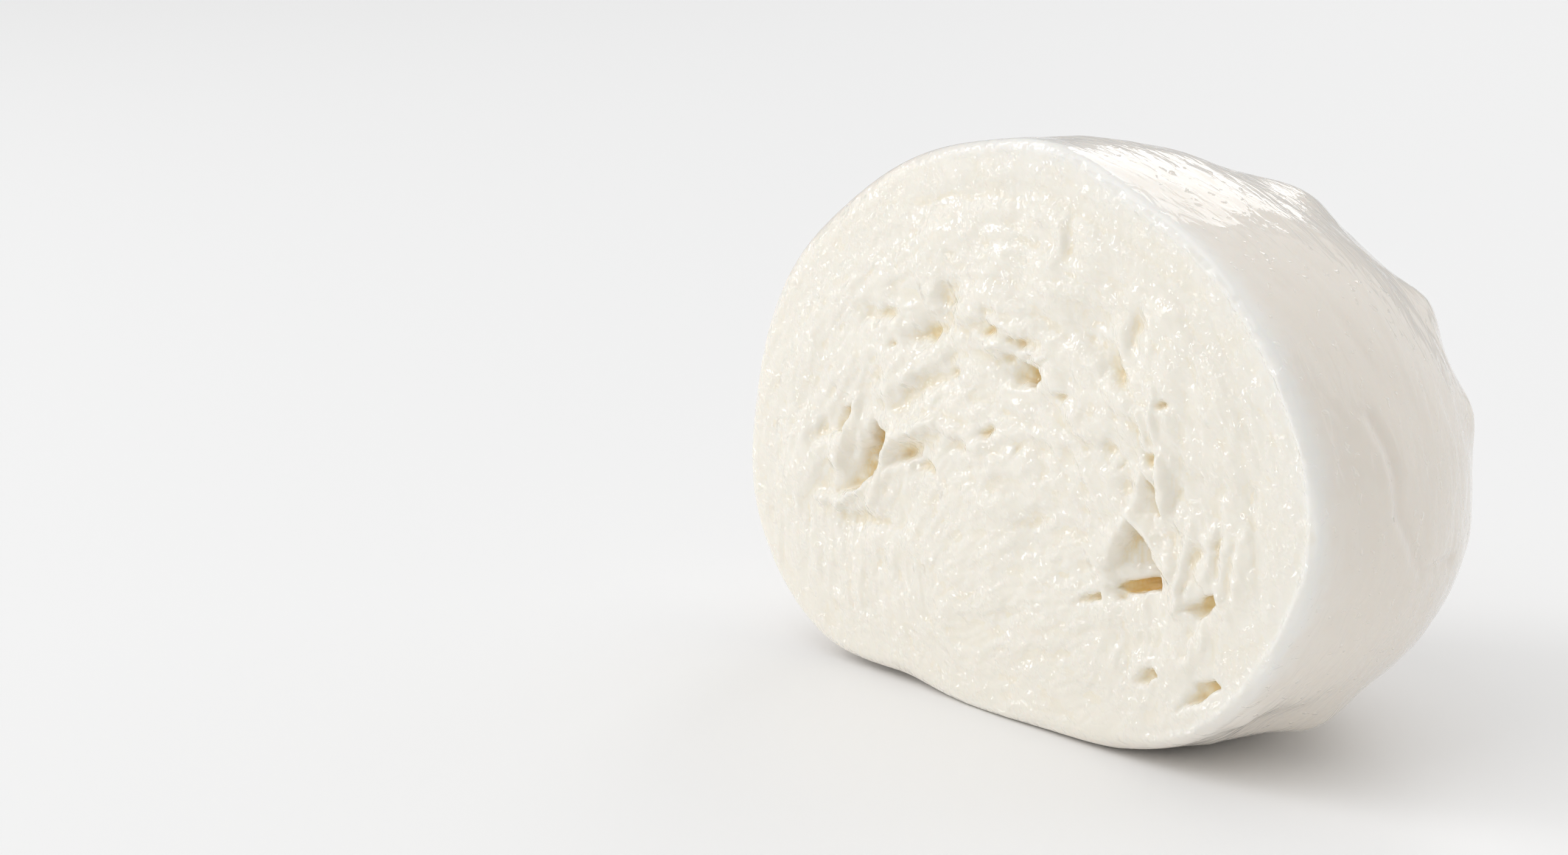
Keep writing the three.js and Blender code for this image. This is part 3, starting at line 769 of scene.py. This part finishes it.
def cheese_material():
    material = bpy.data.materials.new("fresh_cheese")
    material.use_nodes = True
    tree = material.node_tree
    link = tree.links.new
    shader = tree.nodes["Principled BSDF"]
    shader.inputs["Roughness"].default_value = 0.45
    shader.inputs["Specular IOR Level"].default_value = 0.3
    shader.inputs["Subsurface Weight"].default_value = 0.5
    shader.inputs["Subsurface Radius"].default_value = (1.0, 0.85, 0.7)
    shader.inputs["Subsurface Scale"].default_value = 1.6 * MM
    shader.inputs["Coat Weight"].default_value = 1.0
    shader.inputs["Coat Roughness"].default_value = 0.03

    skin = mark_value(tree, "skin")
    # The curd's colour carries the painted shade of its hollows and pockets.
    with_skin = painted_over(tree, curd_colour_with_shade(tree), SKIN_COLOUR, skin)
    with_rim = painted_over(tree, with_skin, RIM_COLOUR, mark_value(tree, "rim"))
    link(with_rim, shader.inputs["Base Color"])

    relief = film_relief(tree, skin)
    for distance, socket in ((FLESH_BUMP, "Normal"), (COAT_BUMP, "Coat Normal")):
        bump = new_node(tree, "ShaderNodeBump", Distance=distance * MM, Strength=1.0)
        link(relief, bump.inputs["Height"])
        link(bump.outputs["Normal"], shader.inputs[socket])
    return material


# ---------------------------------------------------------------- the stage


def way_to(azimuth, elevation):
    """The way out from the half, so many degrees round to the right from the cut and so many up."""
    a, e = math.radians(azimuth), math.radians(elevation)
    return Vector((math.sin(a) * math.cos(e), -math.cos(a) * math.cos(e), math.sin(e)))


def put_facing(name, data, location, away):
    """A camera or light of this data, with its back turned the way given."""
    placed = bpy.data.objects.new(name, data)
    placed.location = location
    placed.rotation_euler = away.to_track_quat("Z", "Y").to_euler()
    bpy.context.scene.collection.objects.link(placed)
    return placed


def add_camera():
    """The camera stands half right of the cut and a little above, and aims left of its middle."""
    back = way_to(CAMERA_AZIMUTH, CAMERA_ELEVATION)
    aim = (Vector(CAMERA_AIM) - Vector((MIDDLE_X, MIDDLE_Y, 0))) * MM
    data = bpy.data.cameras.new("camera")
    data.lens = 85
    data.sensor_width = 36
    data.clip_start = 0.01
    camera = put_facing("camera", data, aim + back * CAMERA_DISTANCE * MM, back)
    bpy.context.scene.camera = camera


def add_floor():
    bpy.ops.mesh.primitive_plane_add(size=4, location=(0, 0, 0))
    floor = bpy.context.object
    floor.name = "floor"
    material = bpy.data.materials.new("pale_floor")
    material.use_nodes = True
    shader = material.node_tree.nodes["Principled BSDF"]
    shader.inputs["Base Color"].default_value = FLOOR_COLOUR
    shader.inputs["Roughness"].default_value = 0.6
    floor.data.materials.append(material)


def add_softbox(name, azimuth, elevation, distance, width, height, power):
    """A soft light that looks at the half, placed by its direction from it."""
    away = way_to(azimuth, elevation)
    data = bpy.data.lights.new(name, "AREA")
    data.shape = "RECTANGLE"
    data.size = width
    data.size_y = height
    data.energy = power
    put_facing(name, data, away * distance + Vector((0, 0, LIGHT_AIM_HEIGHT)), away)


def add_lights():
    world = bpy.data.worlds.new("studio")
    world.use_nodes = True
    background = world.node_tree.nodes["Background"]
    background.inputs["Color"].default_value = (1, 1, 1, 1)
    background.inputs["Strength"].default_value = STUDIO_LIGHT
    bpy.context.scene.world = world
    sky = bpy.data.lights.new("sky_panel", "SUN")
    sky.energy = SKY_LIGHT
    sky.angle = math.radians(SKY_SPREAD)
    sky_panel = bpy.data.objects.new("sky_panel", sky)
    sky_panel.rotation_euler = (math.radians(SKY_TURN_X), math.radians(SKY_TURN_Y), 0)
    bpy.context.scene.collection.objects.link(sky_panel)
    for softbox in SOFTBOXES:
        add_softbox(*softbox)
    bpy.context.scene.view_settings.view_transform = "Standard"


# ---------------------------------------------------------------- the scene

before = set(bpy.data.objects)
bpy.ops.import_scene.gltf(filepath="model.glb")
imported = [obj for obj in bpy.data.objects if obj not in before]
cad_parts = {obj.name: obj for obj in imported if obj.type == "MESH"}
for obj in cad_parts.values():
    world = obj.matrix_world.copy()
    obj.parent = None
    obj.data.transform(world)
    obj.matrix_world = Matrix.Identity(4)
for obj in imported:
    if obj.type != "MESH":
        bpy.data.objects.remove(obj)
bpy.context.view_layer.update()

add_camera()
add_lights()
add_floor()

half = bpy.data.objects.new("cheese_half", half_mesh())
bpy.context.scene.collection.objects.link(half)
half.data.materials.append(cheese_material())
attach(half, "root")
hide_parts(NODE)
